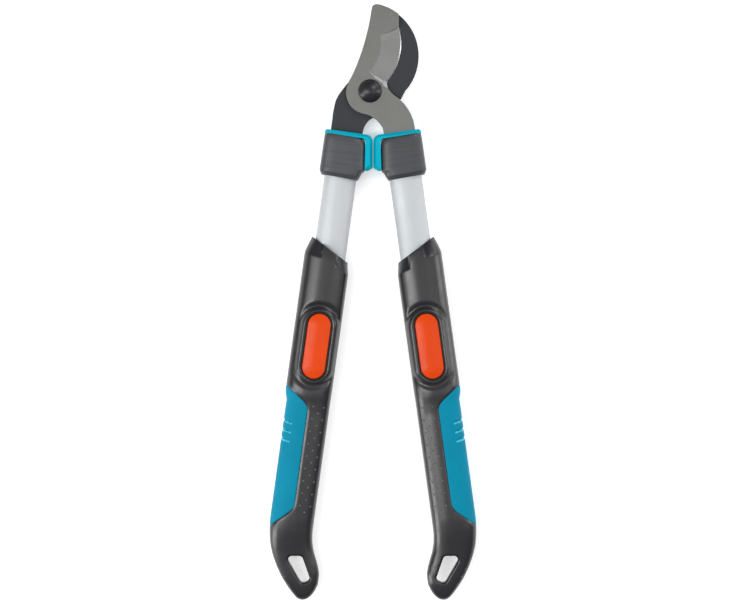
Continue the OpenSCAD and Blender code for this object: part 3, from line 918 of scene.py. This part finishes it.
def even_angles(count):
    """Section angles that lie evenly along the skin of the grip."""
    t = np.linspace(0, 2 * pi, 20001)
    x = 20.2 * signed_power(np.cos(t), 2 / SECTION_POWER)
    z = FULL_HALF * signed_power(np.sin(t), 2 / SECTION_POWER)
    run = np.concatenate([[0], np.cumsum(np.hypot(np.diff(x), np.diff(z)))])
    return np.interp(np.arange(count) / count * run[-1], run, t)


def edges(s):
    """The sleeve's outer and inner x at s."""
    return smooth_curve(STATIONS, 2, s), smooth_curve(STATIONS, 3, s)


def skin(t, s, lift=0.0):
    """x, s and z of the sleeve's plain skin at section angle t and station s, raised by lift."""
    out, inn = edges(s)
    out, inn = out - lift, inn + lift
    half = smooth_curve(STATIONS, 4, s)
    up = np.sin(t)
    x = (out + inn) / 2 + (inn - out) / 2 * signed_power(np.cos(t), 2 / SECTION_POWER)
    z = (half + lift + np.where(up < 0, BACK_EXTRA, 0)) * signed_power(up, 2 / SECTION_POWER)
    z = np.where(up < 0, smooth_max(z, -half - np.minimum(lift, 0.1), 1.2), z)
    return x, s + smooth_curve(STATIONS, 1, s) * x, np.maximum(MID_Z + z, 0.0)


def angle_at(x, s):
    """The section angle, on the front, of the skin at x and s."""
    out, inn = edges(s)
    u = np.clip((x - (out + inn) / 2) / ((inn - out) / 2), -1, 1)
    return np.arccos(signed_power(u, SECTION_POWER / 2))


def mouth_angles(t, s):
    """Section angles that keep the mouth's middle columns straight where the sleeve narrows."""
    straight = 9
    x = (FULL_OUT + FULL_IN) / 2 + (FULL_IN - FULL_OUT) / 2 * signed_power(np.cos(t), 2 / SECTION_POWER)
    out, inn = edges(s)
    x = np.where(x < -straight, -straight + (x + straight) * (out + straight) / (FULL_OUT + straight), x)
    x = np.where(x > straight, straight + (x - straight) * (inn - straight) / (FULL_IN - straight), x)
    moved = angle_at(x, s)
    moved = np.where(t > pi, 2 * pi - moved, moved)
    return np.where(s < 129, moved, t)


# the pad's outline as (x, s): its straight front edge has its own x
PAD_EDGE_X = -0.5
PAD_TOP = [(-32, 217.2), (-22, 224.3), (-6, 235.7), (-4.2, 237.2), (-2, 239.7), (-0.8, 243), (PAD_EDGE_X, 248)]
PAD_LOW = [(PAD_EDGE_X, 322), (-0.7, 326.5), (-2, 331), (-4.5, 334.2), (-20, 348.2), (-32, 359)]
PAD_SHAPE = [(x, -s) for x, s in PAD_TOP + PAD_LOW]
WINDOW_GAP = 1.7


def button_outline(grow):
    """The outline of the rocker button, moved outwards by grow."""
    return pill(BUTTON_HALF + grow, BUTTON_R + grow) + (ROCKER_X, -ROCKER_S)


def button_distance(x, s):
    """Distance outwards from the edge of the rocker button."""
    along = np.maximum(np.abs(s - ROCKER_S) - (BUTTON_HALF - BUTTON_R), 0)
    return np.hypot(x - ROCKER_X, along) - BUTTON_R


def mouth_facets(x):
    """For each facet at the mouth, how far x is inside its side, and the s at which it runs out."""
    return (-6.3 - x, 110.5 + 0.15 * (x + 7)), (x - 6.6, 119 + 0.28 * (x - 7))


FACET_DEPTH = 5.2
DITCH, DITCH_WIDTH = 7, 2.4
CREST, CREST_Z = 2.7, 31.6


def sleeve_front(x, s, z):
    """The sleeve front's height, from its plain skin's: with facets at the mouth and a ring round the button."""
    mouth = MOUTH_S + MOUTH_LEAN * x
    for inside, foot in mouth_facets(x):
        run = np.clip((s - mouth) / np.maximum(foot - mouth, 1), 0, 1)
        z = z - FACET_DEPTH * (1 - run) * smoothstep(0, 1.3, inside) * smoothstep(0, 7, z - MID_Z)
    d = button_distance(x, s)
    ditch_depth = 1.0 + smoothstep(160, 150, s)
    z = z - ditch_depth * np.exp(-(((d - DITCH) / DITCH_WIDTH) ** 2))
    crest = CREST_Z - np.where(d > CREST, 0.32, 0.4) * (d - CREST) ** 2
    return np.where(d < 2 * DITCH, smooth_max(z, crest, 0.5), z)


def hole_fillet(x, s):
    """How far the skin sinks at (x, s) to round off the rim of the hang hole."""
    inside = HOLE_FILLET - np.clip(signed_distance(HOLE, x, -s), 0, HOLE_FILLET)
    return HOLE_FILLET - np.sqrt(np.maximum(HOLE_FILLET**2 - inside**2, 0))


def sleeve():
    spans = [(MOUTH_S, 126, 0.5), (126, 150, 1.0), (150, 226, 0.7), (226, 366, 1.0), (366, 402, 0.6),
             (402, SLEEVE_END, 0.35)]
    stations = np.concatenate([np.arange(*span) for span in spans] + [[SLEEVE_END]])
    angles = even_angles(144)
    t, s = np.meshgrid(angles, stations)
    t = mouth_angles(t, s)
    x, run, z = skin(t, s)
    front = np.sin(t) > 0
    z = np.where(front, sleeve_front(x, run, z), z)
    near_hole = (run > 366) & (run < 402)
    fillet = np.zeros_like(z)
    fillet[near_hole] = hole_fillet(x[near_hole], run[near_hole])
    seam = np.maximum(signed_distance(PAD_SHAPE, x, -run), 0)
    sink = 0.45 * np.exp(-((seam / 0.8) ** 2)) * ((run > 215) & (run < 362))
    z = z + np.where(front, -1, 1) * (sink + fillet) * smoothstep(0, 5, np.abs(z - MID_Z))
    shape = tinted(solid("sleeve", list(np.stack([x, -run, z], -1))), 0)

    cavity = [(88, 0.3), (113.9, 0.3), (114, 1.0), (348, 1.0)]
    carve(shape, solid("cutter", [oval_ring(s, grow) for s, grow in cavity]), 1)
    carve(shape, prism(button_outline(WINDOW_GAP), MID_Z, OVER), 1)
    carve(shape, prism(HOLE, UNDER, OVER), 1)
    under_pad = []
    for s in np.arange(214, 364, 1.5):
        x, run, z = skin(angles, np.full(len(angles), s), -PAD_DEPTH)
        under_pad.append(np.column_stack([x, -run, z]))
    region = prism(PAD_SHAPE[::-1], UNDER, OVER)
    carve(region, solid("core", under_pad))
    carve(shape, region, 1)
    join(shape, grip_dots(), 2)
    place_pair(shape, "sleeve", "handle", same(SLEEVE, DARK_EDGE, DOTS))


def front_height(x, s):
    """Height of the plain front skin above (x, s), where it doesn't lean."""
    out, inn = edges(s)
    u = np.clip(np.abs(x - (out + inn) / 2) / ((inn - out) / 2), 0, 1)
    return float(MID_Z + smooth_curve(STATIONS, 4, s) * (1 - u**SECTION_POWER) ** (1 / SECTION_POWER))


DOT_COLUMNS = (4.0, 8.7, 13.0)
DOT_START, DOT_STEP = 240, 10.9
LOOP_TICKS = [(-5.4, 384.8), (-1.0, 390.8), (3.6, 397.1)]


def grip_dots():
    """Small raised dots in three staggered columns beside the pad, and three ticks on the loop."""
    spots = [
        (x, DOT_START + DOT_STEP * (row + column % 2 / 2), (1, 1, 1))
        for column, x in enumerate(DOT_COLUMNS) for row in range(9)
    ]
    spots += [(x, s, (2.0, 0.6, 0.8)) for x, s in LOOP_TICKS]
    return domes([((x, -s, front_height(x, s)), size) for x, s, size in spots], 0.85, 0.5, 0.6)


PAD_GAP = 0.35
PAD_LIFT, PAD_EDGE_DROP, PAD_EDGE_WIDTH = 0.18, 0.7, 1.1
GROOVES_S = (255, 263, 271)


def grip_pad():
    """The soft pad: its grid follows its own outline, from the front edge round to the back."""
    rim = np.array([0, 0.12, 0.35, 0.7, 1.2])
    reach = 19.9
    out_half = np.concatenate([rim / reach, np.linspace(2, 19.6, 22) / reach, 1 - np.geomspace(0.013, 0.0001, 8)])
    out = np.concatenate([out_half, [1.0], out_half[::-1]])
    back = np.concatenate([np.zeros(len(out_half)), [0.5], np.ones(len(out_half))])
    top_x, top_s = np.array(PAD_TOP).T
    low_x, low_s = np.array(PAD_LOW[::-1]).T
    front_x = PAD_EDGE_X - PAD_GAP

    def point(out, back, s, lift):
        """The skin a share of the way out from the front edge: on the front (back is 0), the side or the back."""
        x = front_x + out * (edges(s)[0] - front_x)
        t = angle_at(x, s)
        t = np.where(back > 0.75, 2 * pi - t, t)
        return skin(np.where(back == 0.5, pi, t), s, lift)

    columns = []
    for share, turned in zip(out, back):
        first, last = 240.0, 330.0
        for _ in range(8):
            first_x = point(share, turned, np.array(first), 0.0)[0]
            last_x = point(share, turned, np.array(last), 0.0)[0]
            first = float(np.interp(first_x, top_x, top_s)) + PAD_GAP * 1.25
            last = float(np.interp(last_x, low_x, low_s)) - PAD_GAP * 1.3
        columns.append(np.concatenate([first + rim, np.linspace(first + 2.0, last - 2.0, 150), last - rim[::-1]]))
    s = np.array(columns).T
    side_distance = np.broadcast_to(np.minimum(out * reach, 3), s.shape)
    end_distance = np.minimum(s - s[0], s[-1] - s) * 0.82
    border_distance = np.minimum(side_distance, end_distance)
    lift = PAD_LIFT - PAD_EDGE_DROP * (1 - np.clip(border_distance / PAD_EDGE_WIDTH, 0, 1)) ** 2.2
    out, back = np.broadcast_to(out, s.shape), np.broadcast_to(back, s.shape)
    x = point(out, back, s, 0.0)[0]
    # the wall just below each groove's middle gets the lighter groove cyan: a painted highlight on the side that faces
    # the light
    wall = np.zeros(s.shape, bool)
    for groove_s in GROOVES_S:
        at = groove_s + 0.2 * (x + 20.4)
        fade = smoothstep(-12.0, -13.4, x)
        lift = lift - np.exp(-(((s - at) / 0.75) ** 2)) * fade
        wall = wall | ((s > at + 0.1) & (s < at + 1.3) & (fade > 0.4))

    upper = np.stack(point(out, back, s, lift), -1)
    lower = np.stack(point(out, back, s, -PAD_DEPTH + 0.05), -1)
    points = np.concatenate([upper.reshape(-1, 3), lower.reshape(-1, 3)])
    points[:, 1] *= -1
    base = s.size
    grid = np.arange(base).reshape(s.shape)
    quads = np.stack([grid[:-1, :-1], grid[:-1, 1:], grid[1:, 1:], grid[1:, :-1]], -1).reshape(-1, 4)
    faces = []
    for a, b, c, d in quads.tolist():
        faces += [(a, b, c, d), (base + a, base + d, base + c, base + b)]
    border = np.concatenate([grid[0], grid[1:, -1], grid[-1, -2::-1], grid[-2:0:-1, 0]]).tolist()
    for a, b in zip(border, border[1:] + border[:1]):
        faces.append((a, b, base + b, base + a))
    shape = tinted(mesh_object("pad", points, faces), 0)
    # painted highlight: the lit groove walls take the lighter cyan
    for face in shape.data.polygons:
        if face.vertices[0] < base and face.vertices[2] < base and wall.flat[face.vertices[0]]:
            face.material_index = 1
    place_pair(shape, "grip_pad", "handle", same(PAD, GROOVE_HIGHLIGHT))


# ---------- locks
FRAME_LOW = 25.55
FRAME_FLOOR = 26.35
PIN_Z = ROCKER_PIN.z
SPRING_S = ROCKER_S + 20.5
SPRING_TOP = 30.2
EAR_X = 6.4
SHOULDER_Z, CROWN_Z = 30.1, 31.98
PIN_R, PIN_LENGTH = 1.3, 15.2


def button_rings(levels):
    """Outlines about the button. Each level is (distance outside the button's edge, height)."""
    return [level(button_outline(grow), z) for grow, z in levels]


def block(x, width, half, low, high):
    """A block across the rocker's pin, centred on it along the handle."""
    return prism(rectangle(x - width / 2, -ROCKER_S - half, x + width / 2, -ROCKER_S + half), low, high)


def cross_cutter(length, radius):
    """A cylinder along the rocker's pin."""
    points, faces = lathe([(radius, -length / 2), (radius, length / 2)], 32)
    points = np.stack([points[:, 2] + ROCKER_X, points[:, 1] - ROCKER_S, points[:, 0] + PIN_Z], 1)
    return mesh_object("cutter", points, faces)


def lock_frame():
    rim = [(1.6, FRAME_LOW), (1.6, 30.7), (1.45, 30.95), (1.2, 31.05), (0.75, 31.05), (0.55, 30.95), (0.45, 30.7)]
    shape = solid("frame", button_rings(rim + [(0.45, FRAME_FLOOR)]))
    for side in (-1, 1):
        join(shape, block(ROCKER_X + EAR_X * side, 1.8, 2.4, FRAME_LOW + 0.4, PIN_Z + 1.6))
    carve(shape, cross_cutter(PIN_LENGTH, PIN_R))
    carve(shape, round_cutter(ROCKER_X, -TOOTH_S, 5.2, FRAME_LOW - 1, FRAME_LOW + 3, 40))
    # the frame's rim in near-black plastic: partly painted shade for the gap round the button
    place_pair(shape, "lock_frame", "handle", same(INNER))


def rocker():
    levels = [(-2.2, 29.2), (-0.1, 29.2), (0, 29.35), (0, SHOULDER_Z)]
    for k in range(1, 7):
        a = pi / 2 * k / 6
        levels.append((cos(a) - 1, SHOULDER_Z + 0.85 * sin(a)))
    for inset in np.arange(1.5, 9.3, 0.6):
        levels.append((-float(inset), CROWN_Z - 1.03 * (1 - (inset - 1.0) / 8.8) ** 2))
    shape = solid("rocker", button_rings(levels))
    join(shape, block(ROCKER_X, 8.6, 2.2, PIN_Z, 31))
    join(shape, cross_cutter(8.6, 2.2))
    for side in (-1, 1):
        carve(shape, block(ROCKER_X + EAR_X * side, 2.6, 3.4, 20, PIN_Z + 2.1))
    carve(shape, cross_cutter(PIN_LENGTH, PIN_R))
    carve(shape, round_cutter(ROCKER_X, -TOOTH_S, 4.02, 20, 30.55, 40))
    carve(shape, round_cutter(ROCKER_X, -SPRING_S, 3.9, 20, SPRING_TOP, 40))
    spots = [
        ((ROCKER_X + x, -s, 31.6), (1, 1, 1))
        for row, s in enumerate((199.5, 203.4, 207.3, 211.2))
        for x in ((-4.5, 0.0, 4.5) if row % 2 == 0 else (-2.25, 2.25))
    ]
    join(shape, domes(spots, 0.75, 0.38, 0.5))
    place_pair(shape, "rocker", "button", same(BUTTON))


def lock_spring():
    wire, radius, turns, count = 0.3, 3.0, 2.5, 120
    low, high = FRAME_FLOOR + wire + 0.02, SPRING_TOP - wire - 0.02
    b = np.arange(12) * 2 * pi / 12
    r = radius + wire * np.cos(b)
    rings = []
    for i in range(count + 1):
        a = 2 * pi * turns * i / count
        z = low + (high - low) * i / count
        rings.append(np.stack([r * cos(a) + ROCKER_X, r * sin(a) - SPRING_S, z + wire * np.sin(b)], 1))
    shape = solid("spring", rings)
    pair = place_pair(shape, "lock_spring", "handle", same(SPRING_STEEL))
    for obj, (side, matrix) in zip(pair, SIDES.items()):
        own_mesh(obj)


def hidden_pieces():
    """The CAD pieces that stay as they are get a material each."""
    finish_of = dict.fromkeys(("tang_insert", "end_guide", "liner"), INNER)
    finish_of |= dict.fromkeys(("tang_pins", "rocker_pin", "lock_tooth"), ZINC)
    for side in SIDES:
        for part, material in finish_of.items():
            mesh = NODES[f"{side}_{part}"].data
            mesh.materials.clear()
            mesh.materials.append(material)


cutting_blade()
hook_blade()
pivot_pieces()
tube()
collars_and_buffers()
sleeve()
grip_pad()
lock_frame()
rocker()
lock_spring()
hidden_pieces()


# ---------- floor, light and camera
def floor():
    obj = mesh_object("floor", level(rectangle(-6, -6, 6, 6), 0), [(0, 1, 2, 3)])
    obj.location.z = -0.0002
    material, tree, shader, at = new_material("pale_floor")
    set_inputs(tree, shader, {
        "Base Color": ramp(tree, noise(tree, at, 3, 2), [(NOISE_LOW, 0.8), (NOISE_HIGH, 0.82)]), "Roughness": 0.7,
        "Specular IOR Level": 0.2, "Emission Color": (1, 1, 1, 1), "Emission Strength": 0.42,
    })
    obj.data.materials.append(material)


def area_light(name, place_at, aim, size, power):
    data = bpy.data.lights.new(name, "AREA")
    data.shape = "RECTANGLE"
    data.size, data.size_y = size
    data.energy = power
    obj = add_object(name, data)
    obj.location = place_at
    obj.rotation_euler = (Vector(aim) - Vector(place_at)).to_track_quat("-Z", "Y").to_euler()


def studio_world():
    """A sky that is brightest overhead, over a narrow pale band along the horizon."""
    world = bpy.data.worlds.new("studio")
    world.use_nodes = True
    tree = world.node_tree
    direction = tree.nodes.new("ShaderNodeTexCoord").outputs["Generated"]
    height = add_node(tree, "SeparateXYZ", {"Vector": direction}).outputs["Z"]
    stops = [(0.0, 0.66), (0.05, 0.66), (0.09, 0.17), (0.3, 0.28), (0.7, 0.48), (1.0, 0.56)]
    set_inputs(tree, tree.nodes["Background"], {"Color": ramp(tree, height, stops)})
    bpy.context.scene.world = world


LIGHTS = [
    # name, place, aim, size, watts
    ("strip_left", (-1.15, -0.1, 1.9), (0, -0.05, 0), (0.2, 1.7), 26),
    ("strip_right", (0.95, -0.1, 1.9), (0, -0.05, 0), (0.35, 1.7), 5),
    ("high_right", (0.95, 1.15, 1.45), (0, 0, 0), (0.8, 0.8), 12),
    ("low_left", (-1.6, -0.6, 0.5), (0, 0, 0), (0.3, 1.4), 16),
    ("low_right", (1.4, 1.5, 0.45), (0, 0, 0), (0.8, 0.3), 5),
    ("edge_right", (1.7, 0.2, 0.6), (0, 0, 0), (0.25, 1.2), 8),
]


def stage():
    floor()
    for light in LIGHTS:
        area_light(*light)
    studio_world()
    bpy.context.scene.view_settings.view_transform = "Standard"
    camera = bpy.data.cameras.new("camera")
    camera.lens = 163.5
    camera.clip_end = 20
    obj = add_object("camera", camera)
    obj.location = (0.00176, 0.00177, 3.0)
    bpy.context.scene.camera = obj


stage()
